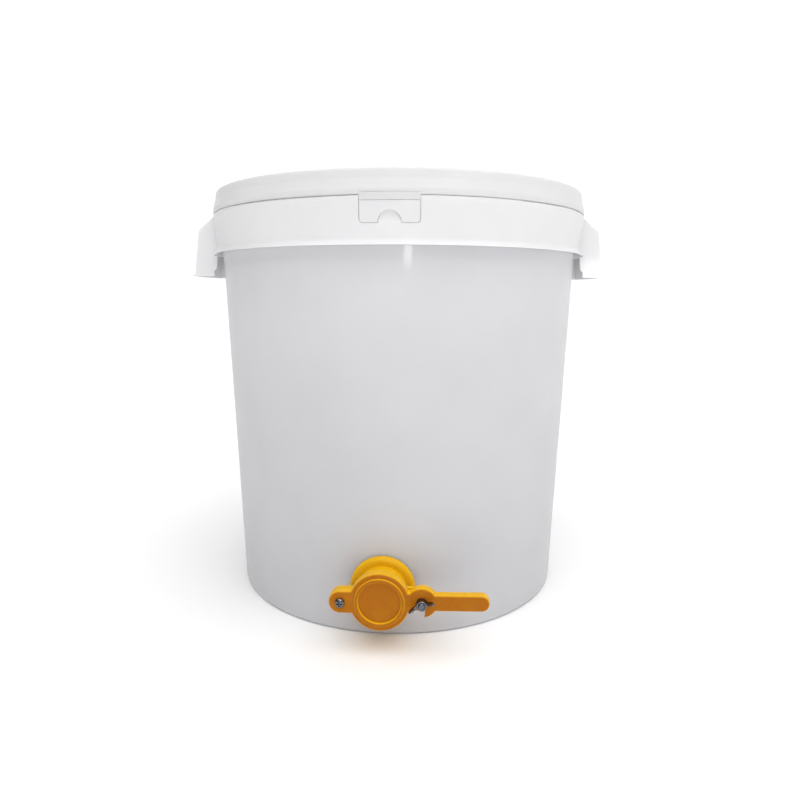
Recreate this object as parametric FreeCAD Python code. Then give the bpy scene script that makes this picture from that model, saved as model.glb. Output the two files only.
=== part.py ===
"""Plastic fermenting bucket of about 33 litres, with a push-fit lid and a swing-blade gate tap.

The frame is in millimetres. The origin is the centre of the foot, on the surface that the bucket stands on.
+Z is up, and the gate tap looks along -Y. The bucket is a tapered shell with a collar round its top and two
handles that hang from the collar. The collar holds a tear tab in front. The lid drops over the rim. The tap is
a flanged spout through the wall. Its blade swings up about the pivot bolt on the left, and is locked on the
right by a wing nut. Each function below returns one node, and main writes them all as STEP files.
"""

import FreeCAD
import Part
import math
import os

V = FreeCAD.Vector

# ---- Bucket: driving dimensions ----
FOOT_R = 168.15           # radius of the wall's outside, produced down to the floor
WALL_SLOPE = 0.0352       # growth of the radius per millimetre of height
WALL = 2.2                # thickness of the wall and of the base
FOOT_CORNER = 4.0         # outside radius where the wall meets the foot
BASE_RECESS = 4.0         # the middle of the base stands this far off the floor
RECESS_R = 146.0          # radius of that raised middle
RIM_TOP = 392.0
RIM_R_IN = 178.0
RIM_R_OUT = 180.5
RIM_BEAD_R = 181.9        # the bead that the lid snaps over

# ---- Collar, tear tab and handles ----
COLLAR_TOP = 376.5
COLLAR_FOOT = 338.5
COLLAR_R_TOP = 188.7
COLLAR_R_LOW = 185.2
COLLAR_FLARE_R = 188.9
COLLAR_T = 2.0
FLARE_H = 4.6
SHOULDER_Z = 372.0        # where the collar's straight side begins, below its rounded shoulder
TAB_TURN = 2.1            # degrees from the tap's side round to the tab's middle
TAB_HALF = 7.3            # half of the tab's width, in degrees
TAB_LOW = 355.3
TAB_HIGH = 371.9
TAB_T = 1.6
TAB_GAP = 0.25            # between the tab and the pocket that holds it
POCKET_BACK = 4.1         # from the collar's side to the back of the pocket's floor
TAB_CORNER = 3.0          # radius of the tab's lower corners
SCOOP_R = 9.6             # the half-moon for a finger
RAMP_TOP = 362.0          # a ramp in the half-moon leads the finger out over the collar
HANDLE_TURN = 4.3           # degrees that the line through the handles is turned from the X axis
HANDLE_HALF = 13.0          # half of a handle's width, in degrees
HANDLE_FOOT = 317.4
HANDLE_T = 2.0
HANDLE_ROOF_TOP = 375.3
HANDLE_ROOF_Z = 361.5
HANDLE_R_HIGH = 203.3
HANDLE_R_LOW = 208.3
HANDLE_LIP_R = 210.9
HANDLE_LIP_T = 1.6

# ---- Lid and seal ----
LID_TOP = 397.1
LID_T = 1.8
LIP_FOOT = 376.8
LIP_R = 188.4
LID_R = 185.1             # of the band above the lip, at its top
LID_R_LOW = 186.0
PLUG_R = 177.4            # outside of the ring that goes down inside the rim
PLUG_R_IN = 175.2
PLUG_FOOT = 380.0
PANEL_Z = 386.0           # where the next bucket's foot stands
PANEL_T = 2.2
CROWN_Z = 389.0           # the raised middle of the lid
CROWN_R = 141.0
CHANNEL_TOP = 395.3
TONGUE_T = 1.1            # the tongue that hangs from the lid over the tab
GROOVE_Z = 378.1          # a fine groove marks the tongue off from the lid's lip
GROOVE_H = 0.4
GROOVE_DEPTH = 0.5
SEAL_CLEAR = 0.3          # between the seal and the rim, so that the lid lifts free

# ---- Gate tap: stations are distances from the bucket's axis, along -Y ----
GATE_Z = 47.2             # height of the tap's bore
TAP_TURN = 1.4            # degrees that the tap is screwed round from level, its lever up
BORE_R = 19.0
THREAD_R = 23.9
HOLE_R = 24.3
SPOUT_END = 150.0
NUT_BACK = 154.0
NUT_FACE = 164.0
NUT_R = 28.5
FLANGE_BACK = 172.1
FLANGE_FRONT = 178.3
FLANGE_R = 28.8
TUBE_R = 22.0
PLATE_BACK = 189.9
PLATE_FRONT = 194.2
PLATE_R = 24.0
BLADE_BACK = 194.6
BLADE_FRONT = 202.4
BLADE_R = 25.4
RING_FRONT = 204.0
RING_ROUND = 1.4          # radius of the ring's front edges
DISH_DEPTH = 0.9          # the blade is dished this deep inside the ring
RING_R = 21.4
RING_R_IN = 17.8
PIVOT_X = -33.1
LOCK_X = 35.4
EAR_R = 9.8
LOBE_R = 13.0
LEVER_END = 91.3
LEVER_HALF = 6.95
ORING_R = 21.1            # radius of the face seal's centreline
ORING_T = 0.85            # radius of its section
SLIDE_GAP = 0.3           # between the blade and the parts in front of it

# ---- Fasteners ----
PIVOT_R = 2.0
LOCK_R = 2.5
RUNNING = 0.08            # radial clearance of a turning fit
STATIC = 0.05             # radial clearance of a fixed fit
BOLT_END = 208.8
WASHER_T = 0.9
WING_TURN = 20.0          # degrees that the wings are turned at rest


def wall_r(z):
    """Outside radius of the wall at height z."""
    return FOOT_R + WALL_SLOPE * z


def rounded_face(corners):
    """A flat face in the XZ plane. Each corner is (x, z) or (x, z, fillet radius)."""
    edges, joins = [], []
    n = len(corners)
    for i, corner in enumerate(corners):
        here = V(corner[0], 0, corner[1])
        radius = corner[2] if len(corner) > 2 else 0
        if not radius:
            joins.append((here, here))
            continue
        back = (V(corners[i - 1][0], 0, corners[i - 1][1]) - here).normalize()
        ahead = (V(corners[(i + 1) % n][0], 0, corners[(i + 1) % n][1]) - here).normalize()
        half = back.getAngle(ahead) / 2
        reach = radius / math.tan(half)
        middle = here + (back + ahead).normalize() * (radius / math.sin(half) - radius)
        start, end = here + back * reach, here + ahead * reach
        joins.append((start, end))
        edges.append(Part.Arc(start, middle, end).toShape())
    for i in range(n):
        start, end = joins[i][1], joins[(i + 1) % n][0]
        if start.distanceToPoint(end) > 1e-6:
            edges.append(Part.LineSegment(start, end).toShape())
    return Part.Face(Part.Wire(Part.__sortEdges__(edges)))


def turned(corners, middle=None, half=None):
    """The face of corners (radius, height) turned round Z, all the way or within half of the middle angle."""
    face = rounded_face(corners)
    if middle is None:
        return face.revolve(V(0, 0, 0), V(0, 0, 1), 360)
    face.rotate(V(0, 0, 0), V(0, 0, 1), middle - half)
    return face.revolve(V(0, 0, 0), V(0, 0, 1), 2 * half)


def tap_frame(shape):
    """Turns a shape made in the tap's own frame (x right, y up, z outwards) into the bucket's frame."""
    shape = shape.copy()
    shape.rotate(V(0, 0, 0), V(0, 0, 1), TAP_TURN)
    shape.rotate(V(0, 0, 0), V(1, 0, 0), 90)
    shape.translate(V(0, 0, GATE_Z))
    return shape


def rod(radius, start, end, x=0.0, y=0.0):
    """A cylinder along the tap's axis, from station start to station end."""
    return Part.makeCylinder(radius, end - start, V(x, y, start))


def pipe(outer, inner, start, end, x=0.0):
    """A ring along the tap's axis."""
    return rod(outer, start, end, x).cut(rod(inner, start - 1, end + 1, x))


def hexagon(across_flats, start, end, x):
    """A hexagonal prism along the tap's axis."""
    corner = across_flats / math.sqrt(3)
    angles = [math.radians(60 * k + 30) for k in range(7)]
    points = [V(x + corner * math.cos(a), corner * math.sin(a), start) for a in angles]
    return Part.Face(Part.makePolygon(points)).extrude(V(0, 0, end - start))


def edges_at(shape, station, tolerance=1e-3):
    """The edges of a shape that lie whole in the plane z = station."""
    return [e for e in shape.Edges
            if abs(e.BoundBox.ZMin - station) < tolerance and abs(e.BoundBox.ZMax - station) < tolerance]


FRONT = -90.0             # the direction of the tap, in degrees round Z


def bucket_outside():
    """The solid inside the bucket's outer skin, for trimming the tap's gasket."""
    top = COLLAR_FOOT
    return Part.makeCone(wall_r(0), wall_r(top), top)


def bucket_inside():
    """The space inside the wall, for trimming the inner gasket."""
    return Part.makeCone(wall_r(0) - WALL, wall_r(COLLAR_FOOT) - WALL, COLLAR_FOOT)


def bucket_body():
    """Tapered shell with a recessed base and a beaded rim, bored for the tap."""
    shell = turned([
        (0, BASE_RECESS), (RECESS_R - 6, BASE_RECESS, 3), (RECESS_R + 2, 0, 3),
        (wall_r(0), 0, FOOT_CORNER), (wall_r(COLLAR_TOP), COLLAR_TOP), (RIM_R_OUT, COLLAR_TOP),
        (RIM_R_OUT, RIM_TOP - 6.5), (RIM_BEAD_R, RIM_TOP - 5), (RIM_BEAD_R, RIM_TOP, 1.3),
        (RIM_R_IN, RIM_TOP, 0.8), (RIM_R_IN, RIM_TOP - 16, 6),
        (wall_r(RIM_TOP - 26) - WALL, RIM_TOP - 26, 6), (wall_r(WALL) - WALL, WALL, FOOT_CORNER - WALL),
        (RECESS_R + 3, WALL, 3), (RECESS_R - 5, BASE_RECESS + WALL, 3), (0, BASE_RECESS + WALL)])
    return shell.cut(tap_frame(rod(HOLE_R, NUT_FACE - 10, FLANGE_BACK + 5)))


def collar_r(z):
    """Outside radius of the collar's straight side at height z."""
    slope = (COLLAR_R_TOP - COLLAR_R_LOW) / (SHOULDER_Z - COLLAR_FOOT - FLARE_H)
    return COLLAR_R_TOP - slope * (SHOULDER_Z - z)


def outside_collar(inset, low, high):
    """Corners of the band between the collar's outer side, inset by that much, and well outside it."""
    far = COLLAR_R_TOP + 8
    return [(collar_r(low) - inset, low), (far, low), (far, high), (collar_r(high) - inset, high)]


def half_moon(radius):
    """The half-moon at the tab's lower edge, as a cylinder that looks at the bucket's axis."""
    angle = math.radians(FRONT + TAB_TURN)
    out = V(math.cos(angle), math.sin(angle), 0)
    return Part.makeCylinder(radius, 20, out * (COLLAR_R_TOP - 10) + V(0, 0, TAB_LOW), out)


def tab_block(grow):
    """A round-cornered block that looks at the bucket's axis, as wide as the tab and larger by that much."""
    half_width = COLLAR_R_TOP * math.sin(math.radians(TAB_HALF)) + grow
    low, high = TAB_LOW - grow, COLLAR_TOP + 5
    corner = TAB_CORNER + grow
    face = rounded_face([(-half_width, low, corner), (half_width, low, corner), (half_width, high),
                         (-half_width, high)])
    face.translate(V(0, -COLLAR_R_TOP - 5, 0))
    block = face.extrude(V(0, 20, 0))
    block.rotate(V(0, 0, 0), V(0, 0, 1), TAB_TURN)
    return block


def bucket_collar(body, handles):
    """Skirt round the top of the bucket, with a pocket in front for the tear tab."""
    bend = COLLAR_FOOT + FLARE_H
    skirt = turned([
        (RIM_R_OUT - 1, COLLAR_TOP), (COLLAR_R_TOP - 0.6, COLLAR_TOP, 2.0), (COLLAR_R_TOP, SHOULDER_Z, 6),
        (COLLAR_R_LOW, bend, 4), (COLLAR_FLARE_R, COLLAR_FOOT), (COLLAR_FLARE_R - COLLAR_T, COLLAR_FOOT),
        (COLLAR_R_LOW - COLLAR_T, bend, 4), (COLLAR_R_TOP - COLLAR_T, SHOULDER_Z, 5),
        (COLLAR_R_TOP - COLLAR_T, COLLAR_TOP - 2.2), (RIM_R_OUT - 1, COLLAR_TOP - 2.2)])
    middle = FRONT + TAB_TURN
    low, high = TAB_LOW - 6, COLLAR_TOP - 1
    backing = turned([(collar_r(low) - POCKET_BACK, low), (collar_r(low) - 0.6, low),
                      (collar_r(high) - 0.9, high), (collar_r(high) - POCKET_BACK, high)],
                     middle, TAB_HALF + 1.2)
    low, depth = TAB_LOW - TAB_GAP, TAB_T + TAB_GAP
    pocket = turned(outside_collar(depth, low, COLLAR_TOP + 5), middle, TAB_HALF + 1).common(tab_block(TAB_GAP))
    ramp_back = collar_r(RAMP_TOP) - depth
    ramp = turned([(collar_r(low), low), (ramp_back, RAMP_TOP), (ramp_back - 1, RAMP_TOP),
                   (ramp_back - 1, low)], middle, TAB_HALF / 2)
    ramp = ramp.common(half_moon(SCOOP_R - TAB_GAP))
    made = skirt.fuse(backing).cut(pocket).fuse(ramp).cut(body)
    for piece in handles:
        made = made.cut(piece)
    return made.removeSplitter()


def tear_tab():
    """Curved tab that closes the collar's pocket, with a half-moon for a finger."""
    middle = FRONT + TAB_TURN
    low, high = TAB_LOW, TAB_HIGH
    plate = turned(outside_collar(TAB_T, low, high), middle, TAB_HALF)
    skin = turned(outside_collar(0.0, low - 1, high + 1), middle, TAB_HALF + 1)
    plate = plate.cut(skin)
    return plate.common(tab_block(0.0)).cut(half_moon(SCOOP_R))


def handle(side):
    """One handle: a roof, an outer wall and two ends outside the collar, open below. Side is 1 or -1."""
    middle = HANDLE_TURN + (0 if side > 0 else 180)
    inset = math.degrees(HANDLE_T / HANDLE_R_HIGH)
    slope = (HANDLE_R_LOW - HANDLE_R_HIGH) / (HANDLE_ROOF_Z - HANDLE_FOOT)
    outer = turned([
        (COLLAR_R_LOW - 1, HANDLE_FOOT + 1), (COLLAR_R_LOW + 2.5, HANDLE_FOOT + 1),
        (COLLAR_R_LOW + 2.5, HANDLE_FOOT), (HANDLE_LIP_R, HANDLE_FOOT, 0.6),
        (HANDLE_LIP_R, HANDLE_FOOT + HANDLE_LIP_T, 0.6), (HANDLE_R_LOW, HANDLE_FOOT + HANDLE_LIP_T, 1.0),
        (HANDLE_R_HIGH, HANDLE_ROOF_Z, 3), (COLLAR_R_TOP - 0.6, HANDLE_ROOF_TOP + 0.5),
        (COLLAR_R_LOW - 1, HANDLE_ROOF_TOP - 3)], middle, HANDLE_HALF)
    inner = turned([
        (COLLAR_R_LOW - 12, HANDLE_FOOT - 2), (HANDLE_R_LOW - HANDLE_T + 2 * slope, HANDLE_FOOT - 2),
        (HANDLE_R_HIGH - HANDLE_T, HANDLE_ROOF_Z - 0.8, 2), (COLLAR_R_TOP - 0.6, HANDLE_ROOF_TOP - 2.4),
        (COLLAR_R_LOW - 12, HANDLE_ROOF_TOP - 2.4)], middle, HANDLE_HALF - inset)
    end_notch = turned([(COLLAR_R_LOW - 12, HANDLE_FOOT - 2), (COLLAR_R_LOW + 4.6, HANDLE_FOOT - 2),
                        (COLLAR_R_LOW + 4.6, HANDLE_FOOT + 5.5, 1), (COLLAR_R_LOW + 2.2, HANDLE_FOOT + 7),
                        (COLLAR_R_LOW + 0.6, COLLAR_FOOT + 0.2), (COLLAR_R_LOW - 12, COLLAR_FOOT + 0.2)],
                       middle, HANDLE_HALF + 1)
    behind = turned([(COLLAR_R_LOW - 12, COLLAR_FOOT - 1), (COLLAR_FLARE_R + 0.2, COLLAR_FOOT - 1),
                     (COLLAR_FLARE_R + 0.2, COLLAR_FOOT), (COLLAR_R_LOW, COLLAR_FOOT + FLARE_H, 4),
                     (COLLAR_R_TOP, SHOULDER_Z, 6), (COLLAR_R_TOP - 0.6, COLLAR_TOP),
                     (COLLAR_R_LOW - 12, COLLAR_TOP)], middle, HANDLE_HALF + 1)
    return outer.cut(inner).cut(end_notch).cut(behind)


def lid():
    """Stacking lid: a skirt over the rim, a plug inside it, and a recessed panel with a raised crown."""
    slope_low, slope_high = 381.0, 389.5
    cap = turned([
        (0, CROWN_Z), (CROWN_R - 3, CROWN_Z, 3), (CROWN_R + 2, PANEL_Z, 3), (PLUG_R_IN, PANEL_Z, 3),
        (PLUG_R_IN, LID_TOP, 1.6), (LID_R, LID_TOP, 1.8), (LID_R_LOW, slope_high, 2), (LIP_R, slope_low, 2),
        (LIP_R, LIP_FOOT, 0.5), (LIP_R - LID_T, LIP_FOOT, 0.5), (LIP_R - LID_T, slope_low, 3),
        (LID_R_LOW - LID_T, slope_high, 3), (LID_R - LID_T, CHANNEL_TOP, 0.4), (PLUG_R, CHANNEL_TOP, 0.4),
        (PLUG_R, PLUG_FOOT, 0.6), (PLUG_R_IN - 0.4, PLUG_FOOT, 0.6), (PLUG_R_IN - 0.4, PANEL_Z - PANEL_T, 1),
        (CROWN_R + 1, PANEL_Z - PANEL_T, 3), (CROWN_R - 4, CROWN_Z - PANEL_T, 3), (0, CROWN_Z - PANEL_T)])
    tongue = turned([
        (COLLAR_R_TOP - TONGUE_T, TAB_HIGH + TAB_GAP), (COLLAR_R_TOP, TAB_HIGH + TAB_GAP),
        (COLLAR_R_TOP, LIP_FOOT + 1.3), (LIP_R - 1.1, LIP_FOOT + 1.3), (LIP_R - 1.1, LIP_FOOT + 0.4),
        (COLLAR_R_TOP - TONGUE_T, LIP_FOOT + 0.4)], FRONT + TAB_TURN, TAB_HALF)
    groove = turned([(LIP_R - GROOVE_DEPTH, GROOVE_Z), (COLLAR_R_TOP + 1, GROOVE_Z),
                     (COLLAR_R_TOP + 1, GROOVE_Z + GROOVE_H), (LIP_R - GROOVE_DEPTH, GROOVE_Z + GROOVE_H)],
                    FRONT + TAB_TURN, TAB_HALF)
    return cap.fuse(tongue).removeSplitter().cut(groove)


def lid_seal():
    """Square rubber ring in the channel under the lid."""
    low = RIM_TOP + SEAL_CLEAR
    return turned([(PLUG_R + 0.1, low, 0.5), (LID_R - LID_T - 0.1, low, 0.5),
                   (LID_R - LID_T - 0.1, CHANNEL_TOP, 0.5), (PLUG_R + 0.1, CHANNEL_TOP, 0.5)])


def ear(x, radius, start, end):
    """A round ear joined to the tap's middle by a straight-sided neck."""
    low, high = min(x, 0), max(x, 0)
    neck = Part.makeBox(high - low, 2 * radius, end - start, V(low, -radius, start))
    return rod(radius, start, end, x).fuse(neck)


def gate_body():
    """Flanged spout with a face plate and two ears, threaded where it passes through the wall."""
    plate = rod(PLATE_R, PLATE_BACK, PLATE_FRONT)
    for x in (PIVOT_X, LOCK_X):
        plate = plate.fuse(ear(x, EAR_R, PLATE_BACK, PLATE_FRONT))
    plate = plate.removeSplitter()
    plate = plate.makeFillet(1.0, edges_at(plate, PLATE_BACK))
    flange = rod(FLANGE_R, FLANGE_BACK, FLANGE_FRONT)
    flange = flange.makeFillet(4.0, edges_at(flange, FLANGE_FRONT))
    spout = rod(THREAD_R, SPOUT_END, FLANGE_BACK)
    spout = spout.makeChamfer(1.2, edges_at(spout, SPOUT_END))
    body = plate.fuse([rod(TUBE_R, FLANGE_FRONT, PLATE_BACK), flange, spout]).removeSplitter()
    body = body.cut(rod(BORE_R, SPOUT_END - 1, PLATE_FRONT + 1))
    body = body.cut(rod(PIVOT_R + RUNNING, PLATE_BACK - 1, PLATE_FRONT + 1, PIVOT_X))
    body = body.cut(rod(LOCK_R + STATIC, PLATE_BACK - 1, PLATE_FRONT + 1, LOCK_X))
    groove = pipe(ORING_R + 0.9, ORING_R - 0.9, PLATE_FRONT - 1.45, PLATE_FRONT + 1)
    return tap_frame(body.cut(groove))


def face_seal():
    """Rubber ring in the face plate's groove, behind the blade."""
    return tap_frame(Part.makeTorus(ORING_R, ORING_T, V(0, 0, PLATE_FRONT - 1.45 + ORING_T), V(0, 0, 1)))


def gate_gasket():
    """Rubber ring between the flange and the curved wall."""
    return tap_frame(pipe(FLANGE_R - 1.0, THREAD_R + 0.2, NUT_FACE, FLANGE_BACK)).cut(bucket_outside())


def inner_gasket():
    """Rubber ring between the inside of the wall and the back nut."""
    return tap_frame(pipe(NUT_R - 0.5, THREAD_R + 0.2, NUT_FACE, FLANGE_BACK)).common(bucket_inside())


def gate_nut():
    """Ring nut inside the bucket, with six lugs to turn it by."""
    nut = rod(NUT_R, NUT_BACK + 6.0, NUT_FACE).fuse(rod(NUT_R - 2, NUT_BACK, NUT_BACK + 6.0))
    for k in range(6):
        lug = Part.makeBox(4.5, 7.0, 8.0, V(NUT_R - 5.2, -3.5, NUT_BACK))
        lug.rotate(V(0, 0, 0), V(0, 0, 1), 60 * k)
        nut = nut.fuse(lug)
    nut = nut.removeSplitter()
    return tap_frame(nut.cut(rod(THREAD_R + STATIC, NUT_BACK - 1, NUT_FACE + 1)))


def gate_blade():
    """Swinging blade: a disc over the bore, an ear on the pivot, a hooked lobe and a lever."""
    thick = BLADE_FRONT - BLADE_BACK
    arm_end = LEVER_END - LEVER_HALF
    neck = Part.makeBox(LOCK_X - 15, 17.0, thick, V(15, -8.5, BLADE_BACK))
    arm = Part.makeBox(arm_end - LOCK_X, 2 * LEVER_HALF, thick, V(LOCK_X, -LEVER_HALF, BLADE_BACK))
    flat = ear(PIVOT_X, EAR_R, BLADE_BACK, BLADE_FRONT)
    disc = rod(BLADE_R, BLADE_BACK, BLADE_FRONT)
    lobe = rod(LOBE_R, BLADE_BACK, BLADE_FRONT, LOCK_X)
    tip = rod(LEVER_HALF, BLADE_BACK, BLADE_FRONT, arm_end)
    flat = flat.fuse([disc, neck, lobe, arm, tip]).removeSplitter()
    flat = flat.makeFillet(1.8, edges_at(flat, BLADE_FRONT))
    # The notch follows the bolt's path as the blade swings, and opens towards the disc.
    reach, width = LOCK_X - PIVOT_X, LOCK_R + 0.5
    notch = pipe(reach + width, reach - width, BLADE_BACK - 5, BLADE_FRONT + 5, PIVOT_X)
    notch = notch.common(Part.makeBox(30, 30, 40, V(LOCK_X - 15, -30, BLADE_BACK - 15)))
    opening = Part.makeBox(LOCK_X - 20, 22, 20, V(20, -28, BLADE_BACK - 5))
    opening = opening.cut(rod(BLADE_R, BLADE_BACK - 6, BLADE_FRONT + 16))
    blade = flat.cut([notch, rod(width, BLADE_BACK - 5, BLADE_FRONT + 5, LOCK_X), opening])
    ring = pipe(RING_R, RING_R_IN, BLADE_FRONT - 0.5, RING_FRONT)
    ring = ring.makeFillet(RING_ROUND, edges_at(ring, RING_FRONT))
    blade = blade.fuse(ring).removeSplitter()
    blade = blade.cut(rod(RING_R_IN, BLADE_FRONT - DISH_DEPTH, RING_FRONT + 1))
    return tap_frame(blade.cut(rod(PIVOT_R + RUNNING, BLADE_BACK - 5, BLADE_FRONT + 5, PIVOT_X)))


def pivot_bolt():
    """Pan-head bolt that the blade turns on, with a cross recess."""
    under = BLADE_FRONT + SLIDE_GAP
    head = rod(4.1, under, under + 3.1, PIVOT_X)
    head = head.makeFillet(1.6, edges_at(head, under + 3.1))
    for wide, high in ((4.4, 1.0), (1.0, 4.4)):
        slot = Part.makeBox(wide, high, 2, V(PIVOT_X - wide / 2, -high / 2, under + 1.6))
        head = head.cut(slot)
    return tap_frame(head.fuse(rod(PIVOT_R, PLATE_BACK - 7.0, under, PIVOT_X)))


def pivot_washer():
    """Plain washer behind the left ear."""
    return tap_frame(pipe(4.5, PIVOT_R + STATIC, PLATE_BACK - 0.8, PLATE_BACK, PIVOT_X))


def pivot_spring_washer():
    """Split washer that keeps the blade pressed to its seat."""
    ring = pipe(3.6, PIVOT_R + STATIC, PLATE_BACK - 1.9, PLATE_BACK - 0.8, PIVOT_X)
    return tap_frame(ring.cut(Part.makeBox(0.7, 5, 3, V(PIVOT_X - 0.35, 0, PLATE_BACK - 3))))


def pivot_nut():
    """Lock nut on the pivot bolt."""
    front = PLATE_BACK - 1.9
    nut = hexagon(7.0, front - 3.4, front, PIVOT_X).fuse(rod(3.1, front - 4.6, front - 3.4, PIVOT_X))
    return tap_frame(nut.cut(rod(PIVOT_R + STATIC, front - 6, front + 1, PIVOT_X)))


def lock_bolt():
    """Hexagon bolt through the right ear, with its head behind and its end in the wing nut."""
    shank = rod(LOCK_R, PLATE_BACK, BOLT_END, LOCK_X)
    shank = shank.makeFillet(1.0, edges_at(shank, BOLT_END))
    return tap_frame(shank.fuse(hexagon(8.0, PLATE_BACK - 3.5, PLATE_BACK, LOCK_X)))


def lock_washer():
    """Plain washer under the wing nut."""
    back = BLADE_FRONT + SLIDE_GAP
    return tap_frame(pipe(5.0, LOCK_R + 0.15, back, back + WASHER_T, LOCK_X))


def wing_nut():
    """Wing nut: a tapered hub and two rounded wings that lean outwards."""
    base = BLADE_FRONT + SLIDE_GAP + WASHER_T + 0.05
    hub = Part.makeCone(4.8, 4.3, 4.2, V(0, 0, base))
    hub = hub.makeFillet(0.8, edges_at(hub, base + 4.2))
    made = hub
    for turn in (0, 180):
        wing = rounded_face([(3.0, base + 0.6), (6.6, base + 0.9, 2.5), (11.9, base + 4.6, 2.2),
                             (11.9, base + 9.55, 2.0), (8.9, base + 9.55, 1.5), (6.9, base + 5.0, 2),
                             (3.0, base + 3.5)])
        wing = wing.extrude(V(0, 2.2, 0))
        wing.translate(V(0, -1.1, 0))
        wing.rotate(V(0, 0, 0), V(0, 0, 1), turn)
        made = made.fuse(wing)
    made = made.cut(rod(LOCK_R + RUNNING, base - 1, base + 12))
    made.rotate(V(0, 0, 0), V(0, 0, 1), WING_TURN)
    made.translate(V(LOCK_X, 0, 0))
    return tap_frame(made)


def main():
    os.makedirs("parts", exist_ok=True)
    body = bucket_body()
    right, left = handle(1), handle(-1)
    nodes = {
        "bucket_body": body, "bucket_collar": bucket_collar(body, (left, right)),
        "left_handle": left, "right_handle": right, "tear_tab": tear_tab(),
        "lid": lid(), "lid_seal": lid_seal(),
        "gate_body": gate_body(), "gate_gasket": gate_gasket(), "inner_gasket": inner_gasket(),
        "gate_nut": gate_nut(), "face_seal": face_seal(), "gate_blade": gate_blade(),
        "pivot_bolt": pivot_bolt(), "pivot_washer": pivot_washer(),
        "pivot_spring_washer": pivot_spring_washer(), "pivot_nut": pivot_nut(),
        "lock_bolt": lock_bolt(), "lock_washer": lock_washer(), "wing_nut": wing_nut()}
    for name, shape in nodes.items():
        solids = shape.Solids
        print(name, "solids", len(solids), "valid", shape.isValid(), "cm3", round(shape.Volume / 1000, 2))
        if len(solids) == 1:
            shape = solids[0]
        shape.exportStep(f"parts/{name}.step")


main()
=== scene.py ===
"""Looks of a plastic fermenting bucket with a push-fit lid and a gate tap, laid out as a Blender add-on.

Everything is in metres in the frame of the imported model: the origin is the centre of the foot, +Z is up, and the
tap looks along -Y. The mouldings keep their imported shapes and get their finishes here. The fasteners and the
pressed gaskets are worked out here as surfaces, in millimetres in the tap's own frame, and then placed.
"""
import bmesh
import bpy
import math
import numpy as np
from bpy.props import FloatProperty, FloatVectorProperty, PointerProperty
from mathutils import Matrix, Vector


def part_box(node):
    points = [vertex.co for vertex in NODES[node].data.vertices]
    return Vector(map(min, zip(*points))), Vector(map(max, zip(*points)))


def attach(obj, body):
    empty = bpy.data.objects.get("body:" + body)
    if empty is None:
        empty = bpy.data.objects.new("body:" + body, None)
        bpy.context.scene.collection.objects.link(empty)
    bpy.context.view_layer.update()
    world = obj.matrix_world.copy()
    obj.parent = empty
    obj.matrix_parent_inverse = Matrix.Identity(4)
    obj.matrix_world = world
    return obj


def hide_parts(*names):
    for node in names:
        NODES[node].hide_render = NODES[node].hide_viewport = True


bl_info = {
    "name": "Fermenting bucket",
    "version": (1, 0, 0),
    "blender": (4, 5, 0),
    "location": "3D View > Sidebar > Fermenter",
    "description": "Finishes, fasteners, gaskets and stage of a plastic fermenting bucket with a gate tap",
    "category": "Object",
}

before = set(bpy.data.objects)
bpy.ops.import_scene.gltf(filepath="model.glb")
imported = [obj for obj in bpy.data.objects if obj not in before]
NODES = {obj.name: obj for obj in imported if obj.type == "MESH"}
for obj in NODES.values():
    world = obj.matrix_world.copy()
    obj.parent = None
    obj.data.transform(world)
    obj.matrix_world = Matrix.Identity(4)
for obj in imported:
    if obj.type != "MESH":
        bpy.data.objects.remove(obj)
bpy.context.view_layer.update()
MM = 0.001
ABOUT = math.tau


def span(node, axis):
    """Lowest and highest value of a node along one axis, in millimetres."""
    low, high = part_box(node)
    return low[axis] / MM, high[axis] / MM


def middle(node, axis):
    """Middle of a node along one axis, in millimetres."""
    return sum(span(node, axis)) / 2


def width(node):
    """Size of a node from left to right, in millimetres."""
    low, high = span(node, 0)
    return high - low


def stations(node):
    """Back and front of a node of the tap: distances from the bucket's axis, in millimetres."""
    low, high = span(node, 1)
    return -high, -low


# The tap's frame: x runs from the pivot to the locking bolt, y is up, and the station is out along the bore.
GATE_Z = middle("gate_nut", 2)
PIVOT = np.array([middle("pivot_washer", 0), middle("pivot_washer", 2)])
LOCK = np.array([middle("lock_washer", 0), middle("lock_washer", 2)])
TAP_TURN = math.atan2(LOCK[1] - PIVOT[1], LOCK[0] - PIVOT[0])
PIVOT_X = -math.hypot(PIVOT[0], PIVOT[1] - GATE_Z)
LOCK_X = math.hypot(LOCK[0], LOCK[1] - GATE_Z)


# ---- Colours and sizes that a user may change ----

def linear(code):
    """Turns an sRGB hex colour into linear red, green and blue."""
    parts = [int(code[i:i + 2], 16) / 255 for i in (0, 2, 4)]
    return tuple(c / 12.92 if c <= 0.04045 else ((c + 0.055) / 1.055) ** 2.4 for c in parts)


def colour(name, description, code):
    """A colour property with its default given as sRGB hex."""
    return FloatVectorProperty(name=name, description=description, subtype="COLOR", size=3, min=0.0, max=1.0,
                               default=linear(code))


def length(name, description, default):
    """A length property in millimetres."""
    return FloatProperty(name=name, description=description, default=default, min=0.0, subtype="DISTANCE",
                         unit="NONE")


class BucketLooks(bpy.types.PropertyGroup):
    """Colours of the white mouldings, and the wall's thickness."""
    wall: colour("Wall", "Thin natural polypropylene, which lets some light through", "CDCDD0")
    collar: colour("Collar", "Collar, handles and tear tab, where more plastic backs the surface", "EBEBEC")
    lid: colour("Lid", "White polypropylene of the lid", "E4E4E4")
    seal: colour("Lid seal", "Foamed sealing ring under the lid", "D9D6CE")
    wall_thickness: length("Wall thickness", "Thickness of the bucket's wall, in millimetres", 2.2)


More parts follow.
